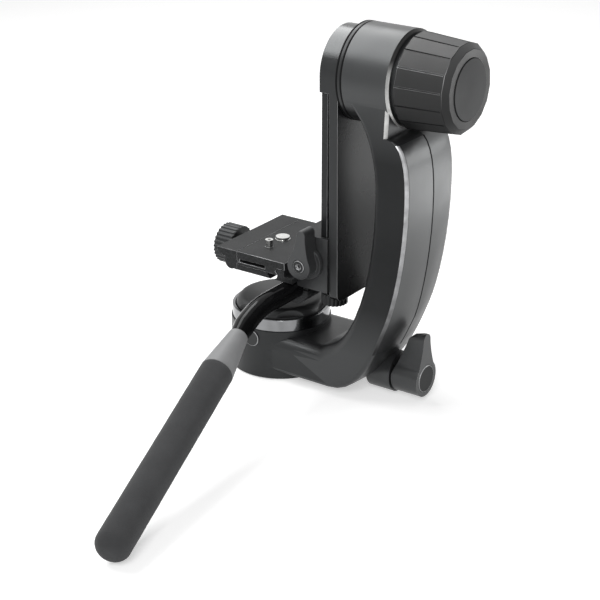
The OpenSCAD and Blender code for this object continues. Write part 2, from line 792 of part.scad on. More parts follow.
module tilt_drag_knob() {
    cavity_end = knob_x1 - 11;
    color(rubber_colour) difference() {
        union() {
            difference() {
                loft([
                    knob_ring(knob_x, knob_r - knob_edge),
                    knob_ring(knob_x + knob_edge, knob_r),
                    knob_ring(knob_x1 - knob_chamfer, knob_front_r),
                    knob_ring(knob_x1, knob_front_r - knob_chamfer)]);
                x_cyl(knob_r - 6, knob_x - over, cavity_end, 0, tilt_z);
                for (i = [0:knob_flats - 1])
                    translate([knob_x, 0, tilt_z]) rotate([knob_corner(i), 0, 0])
                        translate([0, knob_r, 0]) rotate([0, 0, -knob_taper])
                            block([-over, knob_len - knob_chamfer - 1], [-0.7, 2], [-0.45, 0.45]);
            }
            x_cyl(knob_hub_r, knob_hub_x, cavity_end + over, 0, tilt_z);
        }
        x_cyl(thread_shaft_r + run_gap, knob_hub_x - over, knob_x1 - 15, 0, tilt_z);
        x_cyl(knob_cap_r + 0.3, knob_x1 - knob_recess, knob_x1 + over, 0, tilt_z);
    }
}

module tilt_knob_cap() {
    color(cover_colour) x_cyl(knob_cap_r, knob_x1 - knob_recess, knob_x1 + 0.6, 0, tilt_z);
}

// Swing arm

module swing_outline(top_r, low_w, low_z) {
    corner = 6;
    translate([0, tilt_z]) circle(r = top_r);
    polygon(concat(
        [[top_r - seat_gap, tilt_z], [-top_r + seat_gap, tilt_z]],
        [for (a = [180:15:270]) [-low_w + corner + corner * cos(a), low_z + corner + corner * sin(a)]],
        [for (a = [270:15:360]) [low_w - corner + corner * cos(a), low_z + corner + corner * sin(a)]]));
}

rail_screw_r = 2;
rail_screw_count = 4;
rail_head_h = 1.6;
rail_seat_x = channel_x + rail_head_h + 0.2;
head_low_z = tilt_z - 10;
module at_rail_screws() {
    step = (tilt_z - swing_low_z - 2 * swing_w + 16) / (rail_screw_count - 1);
    for (i = [0:rail_screw_count - 1])
        translate([rail_seat_x, 0, swing_low_z + 20 + i * step]) rotate([0, 90, 0]) children();
}
rail_screw_len = swing_x1 - rail_seat_x - 1.5;

// The plate, with a head of full thickness round the tilt shaft
module swing_arm() {
    color(casting_colour) difference() {
        union() {
            along_x(swing_x, swing_x1) swing_outline(swing_w, swing_low_w, swing_low_z);
            intersection() {
                along_x(lip_x, swing_x + over) swing_outline(swing_w, swing_low_w, swing_low_z);
                block([lip_x, swing_x1], [-2 * swing_w, 2 * swing_w], [head_low_z, tilt_z + 2 * swing_w]);
            }
        }
        x_cyl(tilt_shaft_r + seat_gap, shaft_x - slide_gap, swing_x1 + over, 0, tilt_z);
        at_rail_screws() screw_hole(rail_screw_r, rail_screw_len, 0, rail_head_h);
    }
}

// Rail with a channel down its face, which the handle's clamp knob and the gib run in
module dovetail_rail() {
    color(cover_colour) difference() {
        union() {
            along_x(lip_x, lip_x1) swing_outline(lip_w, lip_w, swing_low_z + 1);
            along_x(lip_x1, swing_x) swing_outline(rail_neck_w, rail_neck_w, swing_low_z + 1);
        }
        block([lip_x - over, swing_x + over], [-2 * lip_w, 2 * lip_w], [head_low_z - slide_gap, 2 * tilt_z]);
        block([lip_x - over, channel_x], [-channel_w, channel_w], [swing_low_z - over, tilt_z]);
        at_rail_screws() screw_hole(rail_screw_r, rail_screw_len, over, rail_head_h);
    }
}

module rail_screws() {
    color(metal_colour) at_rail_screws() cap_screw(rail_screw_r, rail_screw_len, rail_head_h);
}

module tilt_shaft() {
    color(metal_colour) union() {
        x_cyl(tilt_shaft_r, shaft_x, spring_x + shaft_shoulder, 0, tilt_z);
        x_cyl(shaft_flange_r, swing_x1, swing_x1 + 1.6, 0, tilt_z);
        x_cyl(thread_shaft_r, spring_x, knob_x1 - shaft_end_inset, 0, tilt_z);
    }
}

module tilt_drag_discs() {
    color(metal_colour) for (i = [1:drag_discs])
        translate([stack_x + i * stack_step - disc_t - 0.2, 0, tilt_z]) rotate([0, 90, 0])
            ring(cavity_r - 2.5, tilt_shaft_r + seat_gap, disc_t);
}

// Cradle

module rail_channel() {
    block([lip_x - slide_gap, lip_x1 + slide_gap], [-lip_w - slide_gap, lip_w + slide_gap],
        [bracket_z - over, bracket_top + over]);
    block([lip_x, bracket_x1 + over], [-rail_neck_w - slide_gap, rail_neck_w + slide_gap],
        [bracket_z - over, bracket_top + over]);
}

gib_t = 3.3;
gib_w = 8;
gib_h = 16;
module gib_space(gap, reach) {
    block([lip_x - slide_gap - gib_t - gap, lip_x - slide_gap + reach], [-gib_w - gap, gib_w + gap],
        [height_lever_z - gib_h / 2 - gap, height_lever_z + gib_h / 2 + gap]);
}

// Two pins of the cradle that guide the jaw
guide_r = 1.4;
guide_y = 24;
module jaw_guides(gap) {
    for (side = [-1, 1])
        x_cyl(guide_r + gap, jaw_x1 - 3 * jaw_travel - 10 * gap, plate_x + over,
            clamp_mid_y + side * guide_y, (floor_z + floor_top) / 2);
}

// Ridge along Y that holds the plate, pointing along +X or -X
module ridge(x, dir, y0, y1, grow) {
    along_y(y0, y1) polygon([
        [x - dir * over, ridge_z - ridge_h - grow], [x, ridge_z - ridge_h - grow],
        [x + dir * (ridge_h + grow), ridge_z], [x, ridge_z + ridge_h + grow],
        [x - dir * over, ridge_z + ridge_h + grow]]);
}

module cradle_bracket() {
    color(casting_colour) difference() {
        union() {
            block([bracket_x, bracket_x1], [-bracket_w, bracket_w], [bracket_z, bracket_top]);
            block([plate_x, bracket_x + over], [-clamp_front, clamp_rear], [floor_z, floor_top]);
            block([plate_x, bracket_x + over], [clamp_mid_y - rib_w, clamp_mid_y + rib_w],
                [rib_z, floor_z + over]);
            jaw_guides(0);
            block([wall_x, clamp_w - 0.2], [-clamp_front, clamp_rear], [floor_z, plate_slab_z - slide_gap]);
            ridge(wall_x, -1, -clamp_front, clamp_rear, 0);
            y_cyl(socket_r, socket_front, socket_rear, handle_x, handle_z);
            block([handle_x, pinch_ear_x], [-pinch_ear_w, pinch_ear_w], [pinch_ear_z, floor_z + over]);
        }
        rail_channel();
        gib_space(0.1, over);
        y_cyl(height_stud_r + run_gap, -bracket_w - over, 12, height_lever_x, height_lever_z);
        x_cyl(clamp_screw_r + run_gap, plate_x - over, clamp_screw_x1 + 4, clamp_mid_y, clamp_screw_z);
        y_cyl(rod_r + run_gap, -bracket_w - over, rod_rear + slide_gap, handle_x, handle_z);
        block([handle_x, pinch_ear_x + over], [socket_front - over, socket_rear + over],
            [handle_z - pinch_slot / 2, handle_z + pinch_slot / 2]);
        z_cyl(pinch_knob_r + slide_gap, handle_z - socket_r - over, pinch_ear_z, pinch_x, 0);
        z_cyl(pinch_stud_r + run_gap, pinch_ear_z - over, pinch_stud_top + slide_gap, pinch_x, 0);
        y_cyl(4, -clamp_front - over, -clamp_front + 9, wall_x - 4, floor_top + 0.2);
    }
}

module rail_gib() {
    color(brass_colour) gib_space(0, channel_x - lip_x + slide_gap - 0.1);
}

// Height lever

module height_lever() {
    y0 = height_lever_y1 - height_lever_t;
    color(casting_colour) difference() {
        union() {
            along_y(y0, height_lever_y1) translate([height_lever_x, height_lever_z]) rotate(-height_lean)
                lever_outline(height_lever_r, height_tip_r, height_lever_len - height_tip_r);
            y_cyl(height_skirt_r, height_lever_y1 - height_skirt_t, height_lever_y1,
                height_lever_x, height_lever_z);
        }
        y_cyl(height_cap_r + slide_gap, y0 - over, y0 + height_cap_t, height_lever_x, height_lever_z);
        y_cyl(height_stud_r + seat_gap, y0 + 3, height_lever_y1 + over, height_lever_x, height_lever_z);
    }
}

module height_lever_cap() {
    y0 = height_lever_y1 - height_lever_t;
    color(cover_colour) difference() {
        y_cyl(height_cap_r, y0 - slide_gap, y0 + height_cap_t, height_lever_x, height_lever_z);
        translate([height_lever_x, y0 - over, height_lever_z]) rotate([-90, 0, 0])
            cylinder(r = 1.9, h = over + 1, $fn = 6);
    }
}

module height_lever_stud() {
    y0 = height_lever_y1 - height_lever_t;
    color(metal_colour) y_cyl(height_stud_r, y0 + 3.2, 11.5, height_lever_x, height_lever_z);
}

// Plate clamp

// Jaw: a lip over the clamp knob's side, and a leg with a round foot
jaw_lip_t = 2.8;
jaw_leg_x = jaw_x1 - 9.8;
jaw_foot_r = 4.8;
jaw_foot_z = floor_z - 0.6;
jaw_slant = 2.6;
module clamp_jaw() {
    lip_z = plate_top_z - jaw_lip_t;
    color(casting_colour) difference() {
        union() {
            along_y(-clamp_front, clamp_rear) polygon(concat(
                [[-clamp_w, lip_z], [-clamp_w, plate_top_z]],
                [[jaw_x1, plate_top_z], [jaw_x1, jaw_foot_z + 0.3]],
                [for (a = [300:-20:180])
                    [jaw_leg_x + jaw_foot_r * (1 + cos(a)), jaw_foot_z + jaw_foot_r * (1 + sin(a))]],
                [[jaw_leg_x, lip_z - jaw_slant], [jaw_leg_x - 1.2, lip_z - jaw_slant]]));
            ridge(jaw_x1, 1, -clamp_front, clamp_rear, 0);
            x_cyl(jaw_boss_r, jaw_boss_x, jaw_x1 - slide_gap, clamp_mid_y, clamp_screw_z);
        }
        x_cyl(clamp_screw_r + run_gap, jaw_boss_x - over, jaw_x1 + over, clamp_mid_y, clamp_screw_z);
        jaw_guides(run_gap);
    }
}

module clamp_knob() {
    color(rubber_colour) difference() {
        union() {
            translate([clamp_knob_x1 - clamp_knob_len, clamp_mid_y, clamp_screw_z]) rotate([0, 90, 0])
                ribbed_knob(clamp_knob_r, clamp_knob_len, 28);
            x_cyl(6, clamp_knob_x1 - over, jaw_boss_x - slide_gap, clamp_mid_y, clamp_screw_z);
        }
        x_cyl(clamp_screw_r + seat_gap, clamp_screw_x, jaw_boss_x, clamp_mid_y, clamp_screw_z);
    }
}

module clamp_screw() {
    color(metal_colour) x_cyl(clamp_screw_r, clamp_screw_x, clamp_screw_x1, clamp_mid_y, clamp_screw_z);
}

module camera_plate() {
    color(casting_colour) difference() {
        union() {
            block([plate_x, clamp_w], [-clamp_front, clamp_rear], [plate_slab_z, plate_top_z]);
            block([plate_x, keel_x], [-clamp_front, clamp_rear], [floor_top + 0.2, plate_slab_z + over]);
        }
        ridge(plate_x, 1, -clamp_front - over, clamp_rear + over, slide_gap);
        ridge(keel_x, -1, -clamp_front - over, clamp_rear + over, slide_gap);
        block([slot_x, slot_x + slot_len], [-clamp_front - over, -clamp_front + 8],
            [plate_slab_z - slot_h, plate_slab_z]);
        z_cyl(camera_shank_r + run_gap, floor_z, plate_top_z + over, 0, camera_screw_y);
        z_cyl(camera_head_r + slide_gap, floor_z, plate_slab_z, 0, camera_screw_y);
        z_cyl(index_pin_r + run_gap, floor_z, plate_top_z + over, index_pin_x, index_pin_y);
        z_cyl(index_flange_r + run_gap, floor_z, index_guide_z, index_pin_x, index_pin_y);
    }
}

module camera_screw() {
    head_z = floor_top + 0.6;
    color(metal_colour) difference() {
        union() {
            z_cyl(camera_shank_r, head_z, plate_top_z + 0.1, 0, camera_screw_y);
            z_cyl(camera_head_r, head_z, plate_slab_z - 0.1, 0, camera_screw_y);
            z_cyl(camera_screw_r, plate_top_z - over, plate_top_z + camera_screw_rise, 0, camera_screw_y);
        }
        block([-camera_head_r - over, camera_head_r + over], [camera_screw_y - 0.8, camera_screw_y + 0.8],
            [head_z - over, head_z + 1.2]);
    }
}

module index_pin() {
    top = plate_top_z + index_pin_rise;
    flange_z = index_guide_z - index_flange_t;
    color(metal_colour) translate([index_pin_x, index_pin_y, 0]) difference() {
        union() {
            z_cyl(index_pin_r, flange_z, top);
            z_cyl(index_flange_r, flange_z - 0.1, index_guide_z - 0.1);
        }
        z_cyl(0.4 * index_pin_r, top - 2.5, top + over);
    }
}

// Helical spring under the index pin
module index_spring() {
    wire_r = 0.25;
    coil_r = index_flange_r - 0.5;
    turns = 3;
    low = floor_top + 0.2 + wire_r;
    high = index_guide_z - index_flange_t - 0.2 - wire_r;
    steps = 12 * turns;
    lift = atan((high - low) / (turns * 2 * PI * coil_r));
    color(metal_colour) translate([index_pin_x, index_pin_y, 0]) loft([for (s = [0:steps])
        let (a = 360 * turns * s / steps, z = mix(low, high, s / steps))
        [for (k = [0:5])
            let (e = -60 * k, r = coil_r + wire_r * cos(e), up = wire_r * sin(e))
            [r * cos(a) + up * sin(lift) * sin(a),
                r * sin(a) - up * sin(lift) * cos(a),
                z + up * cos(lift)]]]);
}

// Handle

module handle_clamp_knob() {
    color(rubber_colour) difference() {
        translate([pinch_x, 0, pinch_ear_z - slide_gap - pinch_knob_h])
            ribbed_knob(pinch_knob_r, pinch_knob_h, 20);
        z_cyl(pinch_stud_r + seat_gap, pinch_ear_z - pinch_knob_h + 3, pinch_ear_z, pinch_x, 0);
    }
}

module handle_clamp_stud() {
    color(metal_colour) z_cyl(pinch_stud_r, pinch_ear_z - pinch_knob_h + 3, pinch_stud_top, pinch_x, 0);
}

// Frame of the bent part of the handle, with Z along it from the bend
module along_grip() {
    translate([handle_x, 0, handle_z]) rotate([0, -handle_turn, 0])
        translate([0, -bend_y, 0]) rotate([bend_angle + 90, 0, 0]) children();
}

rod_end = grip_start + 0.85 * grip_len;

// Ring of the rod's skin round a centre in the plane of its bend
rod_sides = 28;
function rod_ring(turn, centre, r) = [for (k = [0:rod_sides - 1])
    let (a = 360 * k / rod_sides)
    [r * cos(a), centre[0] - r * sin(a) * sin(turn), centre[1] + r * sin(a) * cos(turn)]];
function bent(d) = [-bend_y - d * cos(bend_angle), -d * sin(bend_angle)];

module handle_rod() {
    start = -bend_y + bend_tangent;
    bend_steps = 10;
    tube_r = rod_r - 0.05;
    color(cover_colour) union() {
        y_cyl(rod_r, socket_front - 3, rod_rear, handle_x, handle_z);
        translate([handle_x, 0, handle_z]) rotate([0, -handle_turn, 0]) loft(concat(
            [rod_ring(0, [socket_front - 1, 0], tube_r)],
            [for (i = [0:bend_steps]) let (a = bend_angle * i / bend_steps)
                rod_ring(a, [start - bend_r * sin(a), -bend_r * (1 - cos(a))], tube_r)],
            [for (d = [collar_start, rod_end]) rod_ring(bend_angle, bent(d), rod_thin_r)]));
    }
}

module handle_collar() {
    color(grey_colour) along_grip() difference() {
        translate([0, 0, collar_start]) cylinder(r1 = rod_thin_r + 0.7, r2 = grip_r, h = collar_len);
        cylinder(r = rod_thin_r + seat_gap, h = grip_start + over);
    }
}

module handle_grip() {
    end = grip_start + grip_len;
    color(rubber_colour) along_grip() difference() {
        rotate_extrude() polygon(concat(
            [[0, grip_start], [grip_r, grip_start]],
            [for (a = [0:10:90]) [grip_r - grip_end_r * (1 - cos(a)), end - grip_end_r * (1 - sin(a))]],
            [[0, end]]));
        z_cyl(rod_thin_r + seat_gap, grip_start - over, rod_end);
    }
}

base_plate();
thread_insert();
base_screws();
pan_spindle();
pan_brake_drum();
spindle_nut();
arm_casting();
back_cover();
cover_screws();
trim_ring();
drum_plug();
pan_bearing();
pan_brake_shoe();
barrel_end_cap();
tilt_bearing_inner();
tilt_bearing_outer();
tilt_drag_plates();
tilt_disc_spring();
pan_drag_knob();
pan_drag_stud();
pan_lock_lever();
pan_lever_cap();
pan_lock_screw();
tilt_drag_knob();
tilt_knob_cap();
swing_arm();
dovetail_rail();
rail_screws();
tilt_shaft();
tilt_drag_discs();
cradle_bracket();
rail_gib();
height_lever();
height_lever_cap();
height_lever_stud();
clamp_jaw();
clamp_knob();
clamp_screw();
camera_plate();
camera_screw();
index_pin();
index_spring();
handle_clamp_knob();
handle_clamp_stud();
handle_rod();
handle_collar();
handle_grip();
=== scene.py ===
"""Looks of a side-arm gimbal fluid head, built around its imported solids."""

import json
import math

import bmesh
import bpy
from mathutils import Matrix, Vector, noise


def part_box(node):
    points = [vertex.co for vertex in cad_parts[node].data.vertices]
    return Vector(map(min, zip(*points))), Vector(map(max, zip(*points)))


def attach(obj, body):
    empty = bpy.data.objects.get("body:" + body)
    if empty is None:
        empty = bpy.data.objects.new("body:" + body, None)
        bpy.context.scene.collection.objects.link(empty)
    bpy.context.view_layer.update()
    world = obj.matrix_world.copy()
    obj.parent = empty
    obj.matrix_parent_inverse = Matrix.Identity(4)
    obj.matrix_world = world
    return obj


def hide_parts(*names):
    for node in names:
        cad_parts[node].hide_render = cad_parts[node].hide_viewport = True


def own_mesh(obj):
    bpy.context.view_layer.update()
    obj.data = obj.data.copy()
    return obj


bl_info = {
    "name": "Gimbal fluid head",
    "version": (1, 0, 0),
    "blender": (4, 5, 0),
    "location": "3D View > Sidebar > Fluid head",
    "description": "Finishes, soft edges and fine pieces of a side-arm gimbal fluid head",
    "category": "Object",
}

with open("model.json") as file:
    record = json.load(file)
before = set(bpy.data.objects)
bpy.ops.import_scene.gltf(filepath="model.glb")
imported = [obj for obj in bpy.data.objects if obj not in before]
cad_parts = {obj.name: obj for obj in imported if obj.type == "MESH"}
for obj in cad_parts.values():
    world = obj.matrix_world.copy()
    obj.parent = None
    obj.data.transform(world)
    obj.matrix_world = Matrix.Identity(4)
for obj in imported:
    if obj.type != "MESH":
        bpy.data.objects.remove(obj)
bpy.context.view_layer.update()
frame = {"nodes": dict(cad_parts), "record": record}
MM = 0.001

# Middle of a noise, where nearly all its values lie
NOISE_LOW, NOISE_HIGH = 0.3, 0.7

# Distances within which points are one, and the angle within which faces are one
WELD, LATHE_WELD = 0.002 * MM, 0.001 * MM
FLAT_ANGLE = math.radians(0.4)

# Roundings of single pieces
LOCK_LEVER_EDGE, HEIGHT_LEVER_EDGE = 0.9 * MM, 0.6 * MM
TILT_KNOB_EDGE, PAN_KNOB_EDGE, COLLAR_EDGE = 0.4 * MM, 0.6 * MM, 0.25 * MM

# Places on the arm, in millimetres
BACK_X, BACK_TOP = 95.0, 184.0
RIM_X = (100.2, 101.79)
NECK_X, NECK_Z = (98.0, 101.0), (186.0, 206.0)

# The arm's seam: slack beside it, its least reach, and the height and depth of a screw boss behind it
SEAM_SLACK, SEAM_LEAST_X = 0.01 * MM, 90 * MM
BOSS_SPAN, BOSS_DEPTH = 14 * MM, 8 * MM

# Steps round a turned piece
RING_STEPS, GRIP_STEPS = 120, 72

# Floor, world and camera
FLOOR_HALF, FLOOR_GLOW = 6.0, 0.47
WORLD_LIGHT, WORLD_SHOWN = 0.25, 1.0
SENSOR = 36.0


class HeadFinishes(bpy.types.PropertyGroup):
    """Colours of the head's finishes."""

    casting: bpy.props.FloatVectorProperty(
        name="Casting",
        description="Satin black coat of the castings",
        subtype="COLOR",
        default=(0.013, 0.0134, 0.0140),
    )
    cover: bpy.props.FloatVectorProperty(
        name="Cover",
        description="Satin coat of the rear cover",
        subtype="COLOR",
        default=(0.015, 0.0154, 0.0160),
    )
    # Bare metal of rubbed edges, which also paints the bright highlights along the edges
    bare_and_highlight: bpy.props.FloatVectorProperty(
        name="Bare edge",
        description="Metal that shows where a coat is rubbed thin",
        subtype="COLOR",
        default=(0.36, 0.363, 0.37),
    )
    lever: bpy.props.FloatVectorProperty(
        name="Lever",
        description="Satin coat of the lock levers",
        subtype="COLOR",
        default=(0.028, 0.0286, 0.0295),
    )
    plate: bpy.props.FloatVectorProperty(
        name="Plate",
        description="Grained coat of the camera plate and its jaws",
        subtype="COLOR",
        default=(0.014, 0.0143, 0.0148),
    )
    anodised: bpy.props.FloatVectorProperty(
        name="Anodised",
        description="Dark anodised rail and caps",
        subtype="COLOR",
        default=(0.009, 0.0093, 0.0098),
    )
    rod: bpy.props.FloatVectorProperty(
        name="Rod",
        description="Gloss black rod of the handle",
        subtype="COLOR",
        default=(0.005, 0.005, 0.0053),
    )
    rubber: bpy.props.FloatVectorProperty(
        name="Rubber",
        description="Matte rubber of the tilt drag knob",
        subtype="COLOR",
        default=(0.0095, 0.0097, 0.0100),
    )
    # Painted highlight on the edges of the knob's panels
    knob_edge: bpy.props.FloatVectorProperty(
        name="Knob edge",
        description="Rubbed edges of the knob's panels",
        subtype="COLOR",
        default=(0.15, 0.1515, 0.154),
    )
    plastic: bpy.props.FloatVectorProperty(
        name="Plastic",
        description="Satin black plastic of the small knobs",
        subtype="COLOR",
        default=(0.011, 0.0111, 0.0115),
    )
    foam: bpy.props.FloatVectorProperty(
        name="Foam",
        description="Closed-cell foam of the grip",
        subtype="COLOR",
        default=(0.0425, 0.0433, 0.0449),
    )
    collar: bpy.props.FloatVectorProperty(
        name="Collar",
        description="Grey cone collar of the handle",
        subtype="COLOR",
        default=(0.24, 0.2415, 0.245),
    )
    chrome: bpy.props.FloatVectorProperty(
        name="Chrome",
        description="Dark chrome of the trim ring",
        subtype="COLOR",
        default=(0.22, 0.223, 0.228),
    )
    steel: bpy.props.FloatVectorProperty(
        name="Steel", description="Bright turned steel", subtype="COLOR", default=(0.70, 0.70, 0.69)
    )
    blacked: bpy.props.FloatVectorProperty(
        name="Blacked steel",
        description="Blacked steel of the small screws",
        subtype="COLOR",
        default=(0.055, 0.055, 0.057),
    )
    brass: bpy.props.FloatVectorProperty(
        name="Brass", description="Turned brass", subtype="COLOR", default=(0.58, 0.44, 0.20)
    )
    lining: bpy.props.FloatVectorProperty(
        name="Lining",
        description="Friction lining inside the head",
        subtype="COLOR",
        default=(0.16, 0.16, 0.155),
    )


class HeadSizes(bpy.types.PropertyGroup):
    """Fine sizes that the finishes add to the solids."""

    casting_edge: bpy.props.FloatProperty(
        name="Casting edge",
        description="Rounding of the castings' edges",
        subtype="DISTANCE",
        default=0.7 * MM,
        min=0.0,
        max=2 * MM,
    )
    machined_edge: bpy.props.FloatProperty(
        name="Machined edge",
        description="Break of machined edges",
        subtype="DISTANCE",
        default=0.35 * MM,
        min=0.0,
        max=1 * MM,
    )
    foam_relief: bpy.props.FloatProperty(
        name="Foam relief",
        description="Unevenness of the foam grip",
        subtype="DISTANCE",
        default=0.12 * MM,
        min=0.0,
        max=0.5 * MM,
    )
    # The four sizes below place the dark strips that paint the shade in the gaps round the end cap
    # and along the arm's seam
    gap_shade_place: bpy.props.FloatProperty(
        name="Seal place",
        description="Where the barrel's end cap meets the casting",
        subtype="DISTANCE",
        default=67.8 * MM,
    )
    gap_shade_width: bpy.props.FloatProperty(
        name="Seal width",
        description="Width of the rubber seals",
        subtype="DISTANCE",
        default=1.3 * MM,
        min=0.3 * MM,
        max=2 * MM,
    )
    gap_shade_stand: bpy.props.FloatProperty(
        name="Seal stand",
        description="How far the seals stand out",
        subtype="DISTANCE",
        default=0.05 * MM,
        min=0.0,
        max=0.3 * MM,
    )
    gap_shade_depth: bpy.props.FloatProperty(
        name="Seal depth",
        description="How far the seals sit in",
        subtype="DISTANCE",
        default=0.8 * MM,
        min=0.3 * MM,
        max=2 * MM,
    )
    pin_travel: bpy.props.FloatProperty(
        name="Pin travel",
        description="How far the index pin is pressed down",
        subtype="DISTANCE",
        default=3.8 * MM,
        min=0.0,
        max=5 * MM,
    )
    bend_place: bpy.props.FloatVectorProperty(
        name="Bend",
        description="Where the handle's straight parts meet",
        subtype="TRANSLATION",
        default=(28 * MM, -69 * MM, 68.5 * MM),
    )
    bend_angle: bpy.props.FloatProperty(
        name="Bend angle",
        description="Angle of the handle's bend",
        subtype="ANGLE",
        default=math.radians(20.7),
    )
    bend_turn: bpy.props.FloatProperty(
        name="Bend turn",
        description="Turn of the bent part towards the arm",
        subtype="ANGLE",
        default=math.radians(43.0),
    )
    grip_start: bpy.props.FloatProperty(
        name="Grip start",
        description="Distance from the bend to the foam",
        subtype="DISTANCE",
        default=64.4 * MM,
    )
    grip_length: bpy.props.FloatProperty(
        name="Grip length", description="Length of the foam", subtype="DISTANCE", default=158 * MM
    )
    grip_radius: bpy.props.FloatProperty(
        name="Grip radius", description="Radius of the foam", subtype="DISTANCE", default=10.8 * MM
    )
    grip_bore: bpy.props.FloatProperty(
        name="Grip bore",
        description="Radius of the hole for the rod",
        subtype="DISTANCE",
        default=5.82 * MM,
    )
    grip_depth: bpy.props.FloatProperty(
        name="Grip depth",
        description="Depth of the hole for the rod",
        subtype="DISTANCE",
        default=134.3 * MM,
    )


class HeadStage(bpy.types.PropertyGroup):
    """Camera and floor."""

    lens: bpy.props.FloatProperty(
        name="Lens",
        description="Focal length on a 36 mm sensor",
        subtype="DISTANCE_CAMERA",
        default=99.0,
    )
    place: bpy.props.FloatVectorProperty(
        name="Place",
        description="Where the camera stands",
        subtype="TRANSLATION",
        default=(0.6101, -0.8482, 0.4941),
    )
    back: bpy.props.FloatVectorProperty(
        name="Back",
        description="Direction from the object to the camera",
        subtype="DIRECTION",
        default=(0.527, -0.752, 0.3955),
    )
    floor: bpy.props.FloatVectorProperty(
        name="Floor", description="Colour of the floor", subtype="COLOR", default=(0.86, 0.86, 0.86)
    )


def new_material(name):
    """Material with a shader and its Object coordinates."""
    mat = bpy.data.materials.new(name)
    mat.use_nodes = True
    shader = mat.node_tree.nodes["Principled BSDF"]
    coords = mat.node_tree.nodes.new("ShaderNodeTexCoord")
    return mat, mat.node_tree.nodes, mat.node_tree.links, shader, coords.outputs["Object"]


def pattern(nodes, links, where, scale, detail=3.0, stretch=(1, 1, 1)):
    """Noise over the object, stretched along an axis where asked."""
    mapping = nodes.new("ShaderNodeMapping")
    mapping.inputs["Scale"].default_value = stretch
    links.new(where, mapping.inputs["Vector"])
    tex = nodes.new("ShaderNodeTexNoise")
    tex.inputs["Scale"].default_value = scale
    tex.inputs["Detail"].default_value = detail
    links.new(mapping.outputs["Vector"], tex.inputs["Vector"])
    return tex.outputs["Fac"]


def spread(nodes, links, value, low, high):
    """Maps the middle of a noise to a range."""
    node = nodes.new("ShaderNodeMapRange")
    node.inputs["From Min"].default_value = NOISE_LOW
    node.inputs["From Max"].default_value = NOISE_HIGH
    node.inputs["To Min"].default_value = low
    node.inputs["To Max"].default_value = high
    links.new(value, node.inputs["Value"])
    return node.outputs["Result"]


def tint(nodes, links, value, colour, change):
    """Colour that drifts by a share round its middle."""
    ramp = nodes.new("ShaderNodeValToRGB")
    ramp.color_ramp.elements[0].position = NOISE_LOW
    ramp.color_ramp.elements[1].position = NOISE_HIGH
    ramp.color_ramp.elements[0].color = (*[c * (1 - change) for c in colour], 1)
    ramp.color_ramp.elements[1].color = (*[c * (1 + change) for c in colour], 1)
    links.new(value, ramp.inputs["Fac"])
    return ramp.outputs["Color"]


def relief(nodes, links, shader, value, strength, distance):
    """Bump from a noise."""
    bump = nodes.new("ShaderNodeBump")
    bump.inputs["Strength"].default_value = strength
    bump.inputs["Distance"].default_value = distance
    links.new(value, bump.inputs["Height"])
    links.new(bump.outputs["Normal"], shader.inputs["Normal"])


def by_height(nodes, links, where, bands):
    """Value that runs from one height to the next, from pairs of millimetres and value."""
    axes = nodes.new("ShaderNodeSeparateXYZ")
    links.new(where, axes.inputs["Vector"])
    span = nodes.new("ShaderNodeMapRange")
    span.inputs["From Max"].default_value = bands[-1][0] * MM
    links.new(axes.outputs["Z"], span.inputs["Value"])
    ramp = nodes.new("ShaderNodeValToRGB")
    ramp.color_ramp.elements.remove(ramp.color_ramp.elements[1])
    for number, (height, value) in enumerate(bands):
        stops = ramp.color_ramp.elements
        stop = stops.new(height / bands[-1][0]) if number else stops[0]
        stop.color = (value, value, value, 1)
    links.new(span.outputs["Result"], ramp.inputs["Fac"])
    return ramp.outputs["Color"]


def set_specular(nodes, links, shader, where, specular):
    """Specular level from one value, or from pairs of height and value."""
    if isinstance(specular, tuple):
        links.new(by_height(nodes, links, where, specular), shader.inputs["Specular IOR Level"])
    else:
        shader.inputs["Specular IOR Level"].default_value = specular


def coated(
    name, colour, roughness, grain, strength, specular=0.5, coat=0.0, speckle=0.0, uneven=0.045
):
    """Powder coat: fine grain, slow drifts of colour and gloss and, where asked, pale specks."""
    mat, nodes, links, shader, where = new_material(name)
    set_specular(nodes, links, shader, where, specular)
    shader.inputs["Specular Tint"].default_value = (0.97, 1.0, 1.01, 1)
    shader.inputs["Coat Weight"].default_value = coat
    shader.inputs["Coat Roughness"].default_value = 0.12
    drift = pattern(nodes, links, where, 38.0, 4.0)
    fine = pattern(nodes, links, where, grain, 2.0)
    if speckle:
        links.new(tint(nodes, links, fine, colour, speckle), shader.inputs["Base Color"])
    else:
        links.new(tint(nodes, links, drift, colour, 0.12), shader.inputs["Base Color"])
    links.new(
        spread(nodes, links, drift, roughness - uneven, roughness + uneven),
        shader.inputs["Roughness"],
    )
    relief(nodes, links, shader, fine, strength, 0.12 * MM)
    return mat


def wear_and_highlight(name, metal, roughness, bands=((0, 1.0), (250, 1.0))):
    """Edge rubbed thin, so that the metal shows through, with a painted highlight that is brighter at
    some heights than at others.
    """
    mat, nodes, links, shader, where = new_material(name)
    shader.inputs["Metallic"].default_value = 0.7
    patches = pattern(nodes, links, where, 140.0, 5.0)
    # Painted highlight: the height bands make the bare metal brighter at some heights than at others
    fade = nodes.new("ShaderNodeMixRGB")
    fade.blend_type = "MULTIPLY"
    fade.inputs["Fac"].default_value = 1.0
    links.new(tint(nodes, links, patches, metal, 0.3), fade.inputs["Color1"])
    links.new(by_height(nodes, links, where, bands), fade.inputs["Color2"])
    links.new(fade.outputs["Color"], shader.inputs["Base Color"])
    links.new(
        spread(nodes, links, patches, roughness + 0.08, roughness - 0.05), shader.inputs["Roughness"]
    )
    relief(nodes, links, shader, pattern(nodes, links, where, 1800.0, 2.0), 0.06, 0.08 * MM)
    return mat


